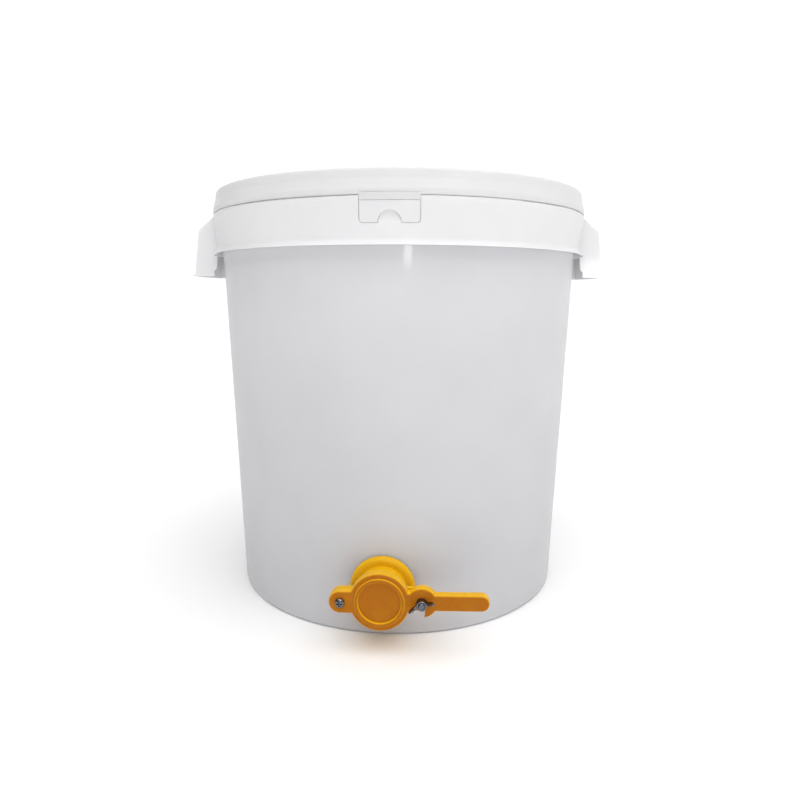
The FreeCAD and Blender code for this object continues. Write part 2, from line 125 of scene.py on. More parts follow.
class TapLooks(bpy.types.PropertyGroup):
    """Colours of the tap and its rubber parts, and the shape of the pressed gaskets."""
    spout: colour("Spout", "Golden yellow nylon of the spout, the back nut and the blade's edges", "E9B216")
    # The deep colour is painted shade on the faces that look along the tap; the edges and tops keep the paler spout
    # colour as painted top light.
    front_shade_colour: colour("Deep nylon", "Deeper yellow of the blade's broad faces", "AD6608")
    rubber: colour("Rubber", "Black nitrile rubber", "2B2A29")
    bulge: length("Gasket bulge", "How far a pressed gasket's edge swells, in millimetres", 0.5)


class FastenerSizes(bpy.types.PropertyGroup):
    """Sizes of the bolts, the wing nut and the spring washer, in millimetres."""
    lock_thread: length("Locking bolt", "Outside diameter of the locking bolt's thread", 5.0)
    lock_pitch: length("Locking pitch", "Pitch of the locking bolt's thread", 0.8)
    pivot_thread: length("Pivot bolt", "Outside diameter of the pivot bolt's thread", 4.0)
    pivot_pitch: length("Pivot pitch", "Pitch of the pivot bolt's thread", 0.7)
    steel: colour("Steel", "Polished stainless steel", "707076")
    wing_turn: FloatProperty(name="Wings' turn", description="Turn of the wings from the tap's own level",
                             default=math.radians(20), subtype="ANGLE")


class StageSetup(bpy.types.PropertyGroup):
    """Camera, lights and floor."""
    lens: FloatProperty(name="Lens", description="Focal length of the camera", default=29.07,
                        subtype="DISTANCE_CAMERA")
    heading: FloatProperty(name="Heading", description="Turn of the camera round the vertical",
                           default=math.radians(4.14), subtype="ANGLE")
    tilt: FloatProperty(name="Tilt", description="How far the camera looks down", default=math.radians(9.30),
                        subtype="ANGLE")
    roll: FloatProperty(name="Roll", description="Roll of the camera", default=math.radians(0.228), subtype="ANGLE")
    floor: colour("Floor", "White seamless paper", "FEFEFE")
    sky: FloatProperty(name="Surround", description="Brightness of the room round the object", default=0.52,
                       min=0.0)
    backdrop: FloatProperty(name="Backdrop", description="Brightness of the lit wall behind the object",
                            default=1.06, min=0.0)


# ---- Mesh helpers ----

def placed(x, y, station):
    """World points in metres from tap-frame arrays in millimetres.

    The tap's x and y are turned together by the tap's turn about the bore, and the station runs along -Y."""
    c, s = math.cos(TAP_TURN), math.sin(TAP_TURN)
    x, y, station = np.broadcast_arrays(x, y, station)
    return np.stack([x * c - y * s, -station, GATE_Z + x * s + y * c], axis=-1) * MM


def ring_faces(rows, columns, first=0, joined=False):
    """Quads of a grid whose columns close on themselves, and whose rows do too when joined."""
    i, j = np.meshgrid(np.arange(rows if joined else rows - 1), np.arange(columns), indexing="ij")
    below, right = (i + 1) % rows, (j + 1) % columns
    quads = np.stack([i * columns + j, i * columns + right, below * columns + right, below * columns + j], axis=-1)
    return (first + quads.reshape(-1, 4)).tolist()


class Shape:
    """Gathers grids of points into one mesh."""

    def __init__(self):
        self.points, self.faces = [], []

    def count(self):
        return sum(len(p) for p in self.points)

    def loft(self, grid):
        """Rows of closed rings, with the first and last rings filled in as flat ends."""
        rows, columns, first = grid.shape[0], grid.shape[1], self.count()
        self.points.append(grid.reshape(-1, 3))
        self.faces += ring_faces(rows, columns, first)
        self.faces.append(list(range(first, first + columns)))
        self.faces.append(list(range(first + (rows - 1) * columns, first + rows * columns)))

    def torus(self, grid):
        """A grid that closes on itself both ways."""
        self.points.append(grid.reshape(-1, 3))
        self.faces += ring_faces(grid.shape[0], grid.shape[1], self.count() - grid.shape[0] * grid.shape[1], True)

    def finish(self, name, material, node, body, sharp=35):
        """Makes the piece, turns its faces outwards, hides the node that it stands for and hangs it under the empty
        of the body that it rides on.
        """
        mesh = bpy.data.meshes.new(name)
        mesh.from_pydata(np.concatenate(self.points).tolist(), [], self.faces)
        work = bmesh.new()
        work.from_mesh(mesh)
        bmesh.ops.remove_doubles(work, verts=work.verts, dist=1e-7)
        bmesh.ops.recalc_face_normals(work, faces=work.faces)
        work.to_mesh(mesh)
        work.free()
        mesh.polygons.foreach_set("use_smooth", np.ones(len(mesh.polygons), dtype=bool))
        mesh.set_sharp_from_angle(angle=math.radians(sharp))
        piece = bpy.data.objects.new(name, mesh)
        bpy.context.scene.collection.objects.link(piece)
        mesh.materials.append(material)
        if node:
            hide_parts(node)
        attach(piece, body)


def around(count):
    """Angles once round, without the last, as a row."""
    return np.arange(count)[None, :] * ABOUT / count


def turned(profile, count, x=0.0, y=0.0):
    """A surface of revolution about a line along the tap: each profile point is a radius and a station."""
    profile = np.array(profile, dtype=float)
    angle = around(count)
    return placed(x + profile[:, :1] * np.cos(angle), y + profile[:, :1] * np.sin(angle), profile[:, 1:])


def arc(centre, radius, start, end, steps=7):
    """Points of a quarter-like arc in a profile: angles in degrees from the radial direction."""
    angle = np.radians(np.linspace(start, end, steps))
    return [(centre[0] + radius * math.cos(a), centre[1] + radius * math.sin(a)) for a in angle]


def thread(radius, pitch, start, end, x, tip=0.0, count=48):
    """A threaded rod along the tap.

    Its radius at a station and an angle is the outside radius less a rounded vee, whose depth is 0.6 of the pitch
    and whose phase is the station in pitches less the angle in turns. Near the end it shrinks as a quarter round
    of the tip's size, so that the end is domed."""
    station = np.linspace(start, end, int((end - start) / pitch * 12))[:, None]
    angle = around(count)
    phase = station / pitch - angle / ABOUT
    groove = np.abs(2 * (phase - np.floor(phase)) - 1)
    size = radius - 0.6 * pitch * np.clip(1.15 * groove - 0.1, 0, 1)
    if tip:
        left = np.clip((end - station) / tip, 0, 1)
        size = np.minimum(size, radius - tip + tip * np.sqrt(1 - (1 - left) ** 2))
    return placed(x + size * np.cos(angle), size * np.sin(angle), station)


def hexagonal(across, start, end, x, chamfer=0.5, count=96):
    """A hexagonal block with turned corners.

    Its radius at an angle is that of the hexagon, and near both ends it is cut to a cone, as a lathe leaves it."""
    angle = around(count)
    flat = (angle + ABOUT / 12) % (ABOUT / 6) - ABOUT / 12
    hexagon = across / 2 / np.cos(flat)
    depth = np.array([0, 0.12, 0.3, 0.5, 0.8, 1.0])[:, None] * chamfer * 1.8
    cone = across / 2 * 0.97 + depth * 1.7
    low = np.minimum(hexagon, cone)
    size = np.concatenate([low, low[::-1]])
    station = np.concatenate([start + depth, end - depth[::-1]])
    return placed(x + size * np.cos(angle), size * np.sin(angle), station)


def upright(profile, height, out, count=72):
    """A surface of revolution about the bucket's axis: each profile point is a radius and how far it stands out
    from a flat face at that height, upwards for out of 1 and downwards for -1."""
    profile = np.array(profile, dtype=float)
    angle = around(count)
    x, y = profile[:, :1] * np.cos(angle), profile[:, :1] * np.sin(angle)
    z = np.broadcast_to(height + out * profile[:, 1:], x.shape)
    return np.stack([x, y, z], axis=-1) * MM


def node_points(node):
    """A node's vertices as rows of x, y and z in millimetres."""
    mesh = NODES[node].data
    flat = np.empty(3 * len(mesh.vertices), dtype=np.float32)
    mesh.vertices.foreach_get("co", flat)
    return flat.reshape(-1, 3) / MM


def flat_height(node, lowest):
    """Height of the flat disc in the middle of a moulding, on its under or its upper side."""
    points = node_points(node)
    radius = np.hypot(points[:, 0], points[:, 1])
    inner = points[radius < radius.min() + 3, 2]
    return float(inner.min() if lowest else inner.max())


def lip_bead():
    """The rolled bead along the foot of the lid's lip.

    The path is a circle broken by the tongue in front, and the section is a circle that stays just inside the
    lip's outer face and clear of the collar."""
    points = node_points("lid")
    radius = np.hypot(points[:, 0], points[:, 1])
    lip = (points[:, 1] > 0) & (radius > radius.max() - 0.4)
    thick, inset, drop, overlap = 0.6, 0.05, 0.1, 0.4
    path = radius[lip].max() - thick - inset
    centre = points[lip, 2].min() - drop
    low, high = span("tear_tab", 0)
    start, end = -math.acos((high - overlap) / path), -math.acos((low + overlap) / path)
    along = np.linspace(start, end + ABOUT, 720)[:, None]
    section = around(16)
    out = path + thick * np.cos(section)
    height = centre + thick * np.sin(section) + 0 * along
    return np.stack([out * np.cos(along), out * np.sin(along), height], -1) * MM


def wall_radius(height):
    """Outside radius of the wall at a height: the straight line between its foot and the foot of the collar."""
    points = node_points("bucket_body")
    radius = np.hypot(points[:, 0], points[:, 1])
    foot = np.where(points[:, 2] < 10, radius, 0).argmax()
    top = np.where((points[:, 2] > 300) & (points[:, 2] < 378), radius, 0).argmax()
    return np.interp(height, points[[foot, top], 2], radius[[foot, top]])


def pressed_ring(node, skin, outside, bulge):
    """A rubber ring between a flat face and the curved wall.

    The section is a loop round four sides, given by u from the inner to the outer edge and by v from the back to
    the front. The curved side's station is the root of the wall's radius squared less x squared, at each point's
    own height, and the outer edge swells by the bulge times the sine of a half turn of v."""
    points = node_points(node)
    reach = np.hypot(points[:, 0], points[:, 2] - GATE_Z)
    step, edge = np.linspace(0, 1, 5)[1:], np.linspace(0, 1, 13)[1:]
    u = np.concatenate([0 * step, step, 1 + 0 * edge, 1 - step])[:, None]
    v = np.concatenate([1 - step, 0 * step, edge, 1 + 0 * step])[:, None]
    swell = np.where((u == 1) & (v > 0) & (v < 1), bulge * np.sin(np.pi * v), 0)
    radius = reach.min() + u * (reach.max() - reach.min()) + swell
    angle = around(160)
    x, y = radius * np.cos(angle), radius * np.sin(angle)
    across = x * math.cos(TAP_TURN) - y * math.sin(TAP_TURN)
    height = GATE_Z + x * math.sin(TAP_TURN) + y * math.cos(TAP_TURN)
    wall = np.sqrt((wall_radius(height) - skin) ** 2 - across ** 2)
    back, front = (wall, stations(node)[1]) if outside else (stations(node)[0], wall)
    return placed(x, y, back + v * (front - back))


def recessed_head(radius, under, front, count=240):
    """The pan head of the pivot bolt, with a cross recess.

    The skin is a low dome over a straight rim. Inside the cross, where the smaller of x and y is within the arm's
    half width and the larger within its length, it drops by the depth, which lessens outwards, and the arm's edges
    are ramps."""
    depth, half_width, arm = 1.9, 0.52, 2.35
    rim = np.array([[radius - 0.35, under], [radius, under + 0.3], [radius, under + 1.0]])
    reach = radius * np.sin(np.linspace(np.pi / 2, 0.01, 76))
    rise = (front - under - 1.0) * np.sqrt(1 - (reach / radius) ** 2 * 0.999)
    dome = np.stack([reach, under + 1.0 + rise], -1)
    profile = np.concatenate([rim, dome[1:]])
    angle = around(count)
    x, y = profile[:, :1] * np.cos(angle), profile[:, :1] * np.sin(angle)
    near, far = np.minimum(abs(x), abs(y)), np.maximum(abs(x), abs(y))
    inside = np.clip((half_width - near) / 0.12 + 0.5, 0, 1) * np.clip((arm - far) / 0.3, 0, 1)
    station = profile[:, 1:] - depth * inside * (1 - 0.45 * far / arm)
    return placed(PIVOT_X + x, y, station)


def split_ring(inner, outer, back, front):
    """One turn of square wire, cut through at the top.

    The path is a circle that climbs by a quarter of the wire's thickness, and the section is a square with its
    corners drawn in, a superellipse of power four."""
    along = np.linspace(math.radians(97), math.radians(443), 120)[:, None]
    section = around(20)
    wire = (front - back) * 0.8
    side = np.sign(np.cos(section)) * np.sqrt(abs(np.cos(section)))
    lift = np.sign(np.sin(section)) * np.sqrt(abs(np.sin(section)))
    radius = (inner + outer) / 2 + side * (outer - inner) / 2
    climb = (along - along.mean()) / ABOUT * wire * 0.25
    station = (back + front) / 2 + climb + lift * wire / 2
    return placed(PIVOT_X + radius * np.cos(along), radius * np.sin(along), station)


def wing(turn, base, front):
    """One wing of the wing nut.

    Its middle line is a quadratic curve that leaves the hub flat and bends forwards to the tip. The section is a
    superellipse of power two and a half whose height grows along the line, and near the tip both its sizes shrink
    as a quarter round."""
    t = np.linspace(0, 1, 44)[:, None]
    start, bend, tip = np.array([[2.9, base + 2.0], [8.3, base + 1.4], [10.1, front - 0.25]])
    line = (1 - t) ** 2 * start + 2 * t * (1 - t) * bend + t ** 2 * tip
    ahead = 2 * (1 - t) * (bend - start) + 2 * t * (tip - bend)
    ahead = ahead / np.linalg.norm(ahead, axis=1)[:, None]
    rounding = np.sqrt(1 - np.clip((t - 0.62) / 0.38, 0, 0.999) ** 2)
    half_high = (1.45 + 1.15 * t) * rounding
    half_thick = (1.35 - 0.35 * t) * rounding
    angle = around(32)
    up = np.sign(np.cos(angle)) * abs(np.cos(angle)) ** 0.8 * half_high
    side = np.sign(np.sin(angle)) * abs(np.sin(angle)) ** 0.8 * half_thick
    out = line[:, :1] - ahead[:, 1:] * up
    station = line[:, 1:] + ahead[:, :1] * up
    x, y = out * math.cos(turn) - side * math.sin(turn), out * math.sin(turn) + side * math.cos(turn)
    return placed(LOCK_X + x, y, station)


# ---- Node helpers ----

def add(tree, kind, inputs=None, **settings):
    """Adds one node. Inputs maps a socket's name or number to a value or to another node's output."""
    node = tree.nodes.new(kind)
    for key, value in settings.items():
        setattr(node, key, value)
    for key, value in (inputs or {}).items():
        if isinstance(value, bpy.types.NodeSocket):
            tree.links.new(value, node.inputs[key])
        else:
            node.inputs[key].default_value = value
    return node


def new_material(name):
    """An empty material, its tree and the object coordinates that its patterns read."""
    material = bpy.data.materials.new(name)
    material.use_nodes = True
    tree = material.node_tree
    tree.nodes.clear()
    return material, tree, add(tree, "ShaderNodeTexCoord").outputs["Object"]


def per_mm(size):
    """The scale of a pattern whose features are this many millimetres across."""
    return 1 / (size * MM)


def shader(tree, inputs):
    """The surface shader, joined to the output."""
    surface = add(tree, "ShaderNodeBsdfPrincipled", inputs)
    add(tree, "ShaderNodeOutputMaterial", {"Surface": surface.outputs[0]})


def spread(tree, value, low, high, from_low=0.3, from_high=0.7):
    """Maps a pattern's middle range onto a range of values."""
    return add(tree, "ShaderNodeMapRange", {"Value": value, "From Min": from_low, "From Max": from_high,
                                            "To Min": low, "To Max": high}).outputs[0]


def ease(tree, value, start, end):
    """Rises smoothly from nought to one between two values."""
    return add(tree, "ShaderNodeMapRange", {"Value": value, "From Min": start, "From Max": end},
               interpolation_type="SMOOTHSTEP").outputs[0]


def sums(tree, operation, *values, clamp=False):
    """One step of arithmetic on values."""
    return add(tree, "ShaderNodeMath", dict(enumerate(values)), operation=operation, use_clamp=clamp).outputs[0]


def between(tree, factor, first, second):
    """A colour that a pattern moves between two colours."""
    return add(tree, "ShaderNodeMix", {"Factor": factor, "A": (*first, 1), "B": (*second, 1)},
               data_type="RGBA").outputs["Result"]


def shade(rgb, factor):
    """A colour made lighter or darker."""
    return tuple(min(1.0, c * factor) for c in rgb)


def noise(tree, where, size, detail=2.0, roughness=0.5):
    """A noise pattern of a size in millimetres."""
    return add(tree, "ShaderNodeTexNoise", {"Vector": where, "Scale": per_mm(size), "Detail": detail,
                                            "Roughness": roughness}).outputs["Fac"]


# ---- Materials ----

def moulded_polypropylene(name, rgb, grain, rough, through, gloss_skin, painted_light_ramp=None):
    """Polypropylene, injection moulded.

    The eye sees a soft white with a cloudy depth, because light enters it and comes out near by, a satin gloss
    with the faint upright lines of the draw from the mould, and a very fine orange-peel skin."""
    material, tree, where = new_material(name)
    cloud = noise(tree, where, 70, 3, 0.55)
    base = between(tree, spread(tree, cloud, 0, 1), shade(rgb, 0.972), shade(rgb, 1.018))
    if painted_light_ramp:
        # Painted light: the wall is darker towards the foot and lighter towards the rim, where it stands in for
        # light that comes through the thin plastic under the collar. The wall's thickness doesn't change.
        height = add(tree, "ShaderNodeSeparateXYZ", {"Vector": where}).outputs["Z"]
        painted_light = spread(tree, height, *painted_light_ramp, 40 * MM, 345 * MM)
        base = add(tree, "ShaderNodeVectorMath", {0: base, "Scale": painted_light}, operation="SCALE").outputs[0]
    upright = add(tree, "ShaderNodeMapping", {"Vector": where, "Scale": (1, 1, 0.03)}).outputs[0]
    lines = noise(tree, upright, 6, 2)
    smear = noise(tree, where, 26, 3)
    gloss = spread(tree, lines, rough * 0.94, rough * 1.06)
    gloss = sums(tree, "ADD", gloss, spread(tree, smear, -0.02, 0.03))
    # The skin of the mould is near 0.2 mm, drawn here as coarse as it needs to show.
    skin = add(tree, "ShaderNodeBump", {"Height": noise(tree, where, grain, 2), "Strength": 0.10,
                                        "Distance": 0.05 * MM}).outputs[0]
    ripple = add(tree, "ShaderNodeBump", {"Height": noise(tree, where, 45, 1), "Strength": 0.25,
                                          "Distance": 0.1 * MM, "Normal": skin}).outputs[0]
    shader(tree, {"Base Color": base, "Roughness": gloss, "Normal": ripple, "IOR": 1.49,
                  "Specular IOR Level": 0.05, "Coat Weight": gloss_skin, "Coat Roughness": 0.09,
                  "Subsurface Weight": through, "Subsurface Radius": (1.0, 0.98, 0.94),
                  "Subsurface Scale": 5 * MM})
    return material


def moulded_nylon(name, rgb, front_shade_colour):
    """Nylon 6, coloured golden yellow and injection moulded.

    The eye sees a warm yellow, slightly uneven where the colour flowed, a satin skin with fine pitting, and a soft
    sheen.
    The broad faces are made deeper and the edges and tops paler, which is painted shade."""
    material, tree, where = new_material(name)
    flow = noise(tree, where, 16, 3, 0.6)
    # Painted shade: faces that look along the tap get the deeper colour, and the edges and tops stay paler, as if
    # lit from above.
    along = add(tree, "ShaderNodeSeparateXYZ", {"Vector": where.node.outputs["Normal"]}).outputs["Y"]
    facing_shade_mask = spread(tree, sums(tree, "ABSOLUTE", along), 0, 1, 0.45, 0.97)
    base = between(tree, sums(tree, "ADD", facing_shade_mask, spread(tree, flow, -0.08, 0.08), clamp=True), rgb, front_shade_colour)
    pits = noise(tree, where, 0.9, 3, 0.65)
    gloss = spread(tree, noise(tree, where, 6, 2), 0.22, 0.33)
    skin = add(tree, "ShaderNodeBump", {"Height": pits, "Strength": 0.15, "Distance": 0.05 * MM}).outputs[0]
    wave = add(tree, "ShaderNodeBump", {"Height": noise(tree, where, 9, 1), "Strength": 0.2,
                                        "Distance": 0.1 * MM, "Normal": skin}).outputs[0]
    shader(tree, {"Base Color": base, "Roughness": gloss, "Normal": wave, "IOR": 1.53, "Specular IOR Level": 0.12,
                  "Subsurface Weight": 0.15, "Subsurface Radius": (1.0, 0.55, 0.12), "Subsurface Scale": 2 * MM})
    return material


def polished_steel(name, rgb, centre):
    """Stainless steel, turned and barrel polished.

    The eye sees bright reflections broken by fine rings from the turning, and small dull rubs."""
    material, tree, where = new_material(name)
    rubs = noise(tree, where, 1.6, 3, 0.6)
    base = between(tree, spread(tree, rubs, 0, 1), shade(rgb, 0.86), shade(rgb, 1.06))
    own = add(tree, "ShaderNodeMapping", {"Vector": where, "Location": [-c * MM for c in centre]}).outputs[0]
    # Turning marks are near 0.05 mm apart, drawn 2.2 mm apart so that they show. The wave node turns through 20
    # radians in each unit of its scaled length.
    rings = add(tree, "ShaderNodeTexWave", {"Vector": own, "Scale": ABOUT * per_mm(2.2) / 20, "Distortion": 1.2,
                                            "Detail": 2.0}, wave_type="RINGS", rings_direction="Y").outputs["Fac"]
    marks = add(tree, "ShaderNodeBump", {"Height": rings, "Strength": 0.12, "Distance": 0.02 * MM}).outputs[0]
    rub = add(tree, "ShaderNodeBump", {"Height": rubs, "Strength": 0.15, "Distance": 0.03 * MM,
                                       "Normal": marks}).outputs[0]
    shader(tree, {"Base Color": base, "Metallic": 1.0, "Roughness": spread(tree, rubs, 0.07, 0.18),
                  "Normal": rub})
    return material


def moulded_nitrile(name, rgb):
    """Nitrile rubber, compression moulded.

    The eye sees a matt near-black with a greyish bloom and a fine sandy skin."""
    material, tree, where = new_material(name)
    bloom = noise(tree, where, 5, 3, 0.6)
    base = between(tree, spread(tree, bloom, 0, 1), shade(rgb, 0.8), shade(rgb, 1.7))
    sand = noise(tree, where, 0.5, 2)
    skin = add(tree, "ShaderNodeBump", {"Height": sand, "Strength": 0.4, "Distance": 0.08 * MM}).outputs[0]
    shader(tree, {"Base Color": base, "Roughness": spread(tree, bloom, 0.55, 0.75), "Normal": skin, "IOR": 1.52})
    return material


def foamed_seal(name, rgb):
    """Polyethylene, foamed and extruded.

    The eye sees a soft off-white cord with closed cells under a dull skin."""
    material, tree, where = new_material(name)
    cells = add(tree, "ShaderNodeTexVoronoi", {"Vector": where, "Scale": per_mm(1.1)}).outputs["Distance"]
    base = between(tree, spread(tree, cells, 0, 1, 0.0, 0.6), shade(rgb, 1.04), shade(rgb, 0.84))
    skin = add(tree, "ShaderNodeBump", {"Height": cells, "Strength": 0.5, "Distance": 0.2 * MM}).outputs[0]
    shader(tree, {"Base Color": base, "Roughness": spread(tree, cells, 0.8, 0.6, 0.0, 0.6), "Normal": skin,
                  "Subsurface Weight": 0.2, "Subsurface Radius": (1.0, 0.97, 0.9), "Subsurface Scale": 2 * MM})
    return material


def seamless_paper(name, rgb):
    """Paper, pressed and coated white. The eye sees an even pale surface with a faint fibre."""
    material, tree, where = new_material(name)
    fibre = noise(tree, where, 3, 4, 0.6)
    base = between(tree, spread(tree, fibre, 0, 1), shade(rgb, 0.985), rgb)
    skin = add(tree, "ShaderNodeBump", {"Height": fibre, "Strength": 0.05, "Distance": 0.1 * MM}).outputs[0]
    shader(tree, {"Base Color": base, "Roughness": 0.9, "Normal": skin, "Specular IOR Level": 0.1})
    return material


def coat(names, material):
    """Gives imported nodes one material."""
    for name in names:
        mesh = NODES[name].data
        mesh.materials.clear()
        mesh.materials.append(material)
        mesh.polygons.foreach_set("material_index", np.zeros(len(mesh.polygons), dtype=np.int32))


# ---- Operators ----

class FERMENTER_OT_white_mouldings(bpy.types.Operator):
    """Finish the bucket, its collar, handles and tear tab, the lid and the lid's seal"""
    bl_idname = "fermenter.white_mouldings"
    bl_label = "White mouldings"

    def execute(self, context):
        colours = context.scene.fermenter_bucket
        # The wall carries painted light: darker at the foot and lighter under the collar.
        coat(["bucket_body"], moulded_polypropylene("natural_polypropylene", colours.wall, 1.1, 0.42, 0.35, 0.18,
                                                     painted_light_ramp=(0.93, 1.16)))
        coat(["bucket_collar", "left_handle", "right_handle", "tear_tab"],
             moulded_polypropylene("backed_polypropylene", colours.collar, 0.9, 0.45, 0.30, 0.25))
        coat(["lid"], moulded_polypropylene("white_polypropylene", colours.lid, 1.0, 0.48, 0.30, 0.20))
        coat(["lid_seal"], foamed_seal("foamed_polyethylene", colours.seal))
        return {"FINISHED"}


class FERMENTER_OT_lip_bead(bpy.types.Operator):
    """Add the rolled bead along the foot of the lid's lip"""
    bl_idname = "fermenter.lip_bead"
    bl_label = "Lip bead"

    def execute(self, context):
        bead = Shape()
        bead.loft(lip_bead())
        bead.finish("lid_lip_bead", NODES["lid"].data.materials[0], None, "lid")
        return {"FINISHED"}


class FERMENTER_OT_inlet_scars(bpy.types.Operator):
    """Add the small round scars that the mould's inlet leaves under the base and on the lid"""
    bl_idname = "fermenter.inlet_scars"
    bl_label = "Inlet scars"

    def execute(self, context):
        base = flat_height("bucket_body", lowest=True)
        crown = flat_height("lid", lowest=False)
        for name, body, node, height, out in (("base_inlet_scar", "bucket", "bucket_body", base, -1),
                                              ("lid_inlet_scar", "lid", "lid", crown, 1)):
            shape = Shape()
            # A broken-off stub stands in a shallow dish with a raised rim.
            shape.loft(upright([(9.5, -0.4), (9.5, 0.05), (9.2, 0.35), (8.6, 0.45), (8.0, 0.3), (7.0, 0.12),
                                (3.4, 0.1), (2.5, 0.2), (2.1, 0.9), (1.9, 1.1), (1.2, 1.0), (0.6, 1.25),
                                (0.1, 1.15)], height, out))
            shape.finish(name, NODES[node].data.materials[0], None, body)
        return {"FINISHED"}


class FERMENTER_OT_tap_mouldings(bpy.types.Operator):
    """Finish the tap's nylon mouldings and the ring behind its blade"""
    bl_idname = "fermenter.tap_mouldings"
    bl_label = "Tap mouldings"

    def execute(self, context):
        looks = context.scene.fermenter_tap
        # The body and the back nut carry a faint painted shade: their faces that look along the tap are a tenth
        # darker.
        coat(["gate_body", "gate_nut"], moulded_nylon("spout_nylon_painted_shade", looks.spout, shade(looks.spout, 0.9)))
        # The blade carries the full painted shade: its broad faces take the deeper colour.
        coat(["gate_blade"], moulded_nylon("blade_nylon_painted_shade", looks.spout, looks.front_shade_colour))
        coat(["face_seal"], moulded_nitrile("nitrile_ring", looks.rubber))
        return {"FINISHED"}


class FERMENTER_OT_gaskets(bpy.types.Operator):
    """Make the two rubber gaskets that are pressed between the tap and the curved wall"""
    bl_idname = "fermenter.gaskets"
    bl_label = "Pressed gaskets"

    def execute(self, context):
        looks = context.scene.fermenter_tap
        wall = context.scene.fermenter_bucket.wall_thickness
        rubber = moulded_nitrile("nitrile_gasket", looks.rubber)
        for node, skin, outside in (("gate_gasket", 0.0, True), ("inner_gasket", wall, False)):
            shape = Shape()
            shape.torus(pressed_ring(node, skin, outside, looks.bulge))
            shape.finish(node + "_pressed", rubber, node, "bucket")
        return {"FINISHED"}


class FERMENTER_OT_bolts(bpy.types.Operator):
    """Make the threaded locking bolt and pivot bolt, and the pivot's lock nut"""
    bl_idname = "fermenter.bolts"
    bl_label = "Bolts"

    def execute(self, context):
        sizes = context.scene.fermenter_fasteners
        steel = polished_steel("turned_stainless_steel", sizes.steel, (LOCK[0], 0, LOCK[1]))
        pivot_steel = polished_steel("pressed_stainless_steel", sizes.steel, (PIVOT[0], 0, PIVOT[1]))
        back, front = stations("lock_bolt")
        ear_back = stations("pivot_washer")[1]
        lock = Shape()
        lock.loft(thread(sizes.lock_thread / 2, sizes.lock_pitch, ear_back - 0.5, front, LOCK_X, tip=1.1))
        lock.loft(hexagonal(width("lock_bolt") - 0.2, back, ear_back, LOCK_X))
        lock.finish("lock_bolt_threaded", steel, "lock_bolt", "bucket")

        back, front = stations("pivot_bolt")
        head = 3.1
        under, shank = front - head, sizes.pivot_thread / 2
        pivot = Shape()
        pivot.loft(thread(shank, sizes.pivot_pitch, back, ear_back, PIVOT_X, count=40))
        pivot.loft(turned([(shank, ear_back - 0.4), (shank, under + 0.1)], 40, PIVOT_X))
        pivot.loft(recessed_head(width("pivot_bolt") / 2, under, front))
        pivot.finish("pivot_bolt_cross_recessed", pivot_steel, "pivot_bolt", "bucket")

        back, front = stations("pivot_nut")
        collar = 1.2
        nut = Shape()
        nut.loft(hexagonal(width("pivot_nut") - 0.1, back + collar, front, PIVOT_X, chamfer=0.35))
        nut.loft(turned([(2.3, back)] + arc((2.3, back + 0.8), 0.8, -90, 0) + [(3.1, back + collar + 0.4)], 64,
                        PIVOT_X))
        nut.finish("pivot_lock_nut", pivot_steel, "pivot_nut", "bucket")
        return {"FINISHED"}


class FERMENTER_OT_washers(bpy.types.Operator):
    """Make the split spring washer and finish the plain washers"""
    bl_idname = "fermenter.washers"
    bl_label = "Washers"

    def execute(self, context):
        sizes = context.scene.fermenter_fasteners
        back, front = stations("pivot_spring_washer")
        steel = polished_steel("stamped_stainless_steel", sizes.steel, (LOCK[0], 0, LOCK[1]))
        coat(["pivot_washer", "lock_washer"], steel)
        washer = Shape()
        washer.loft(split_ring(sizes.pivot_thread / 2 + 0.12, 3.6, back, front))
        washer.finish("pivot_spring_washer_split", steel, "pivot_spring_washer", "bucket")
        return {"FINISHED"}


class FERMENTER_OT_wing_nut(bpy.types.Operator):
    """Make the cast wing nut: a tapered hub and two rounded wings"""
    bl_idname = "fermenter.wing_nut"
    bl_label = "Wing nut"

    def execute(self, context):
        sizes = context.scene.fermenter_fasteners
        steel = polished_steel("cast_stainless_steel", sizes.steel, (LOCK[0], 0, LOCK[1]))
        base, front = stations("wing_nut")
        bore = sizes.lock_thread / 2 + 0.05
        hub_top = base + 4.2
        nut = Shape()
        foot = [(bore, base + 0.4), (bore + 0.5, base), (4.4, base), (4.75, base + 0.3), (4.8, base + 0.7)]
        top = [(4.45, hub_top - 1.1)] + arc((3.65, hub_top - 0.75), 0.75, 5, 90)
        mouth = [(bore + 0.5, hub_top), (bore, hub_top - 0.4)]
        nut.torus(turned(foot + top + mouth, 72, LOCK_X))
        for turn in (sizes.wing_turn, sizes.wing_turn + math.pi):
            nut.loft(wing(turn, base, front))
        nut.finish("wing_nut_cast", steel, "wing_nut", "wing_nut", sharp=50)
        return {"FINISHED"}


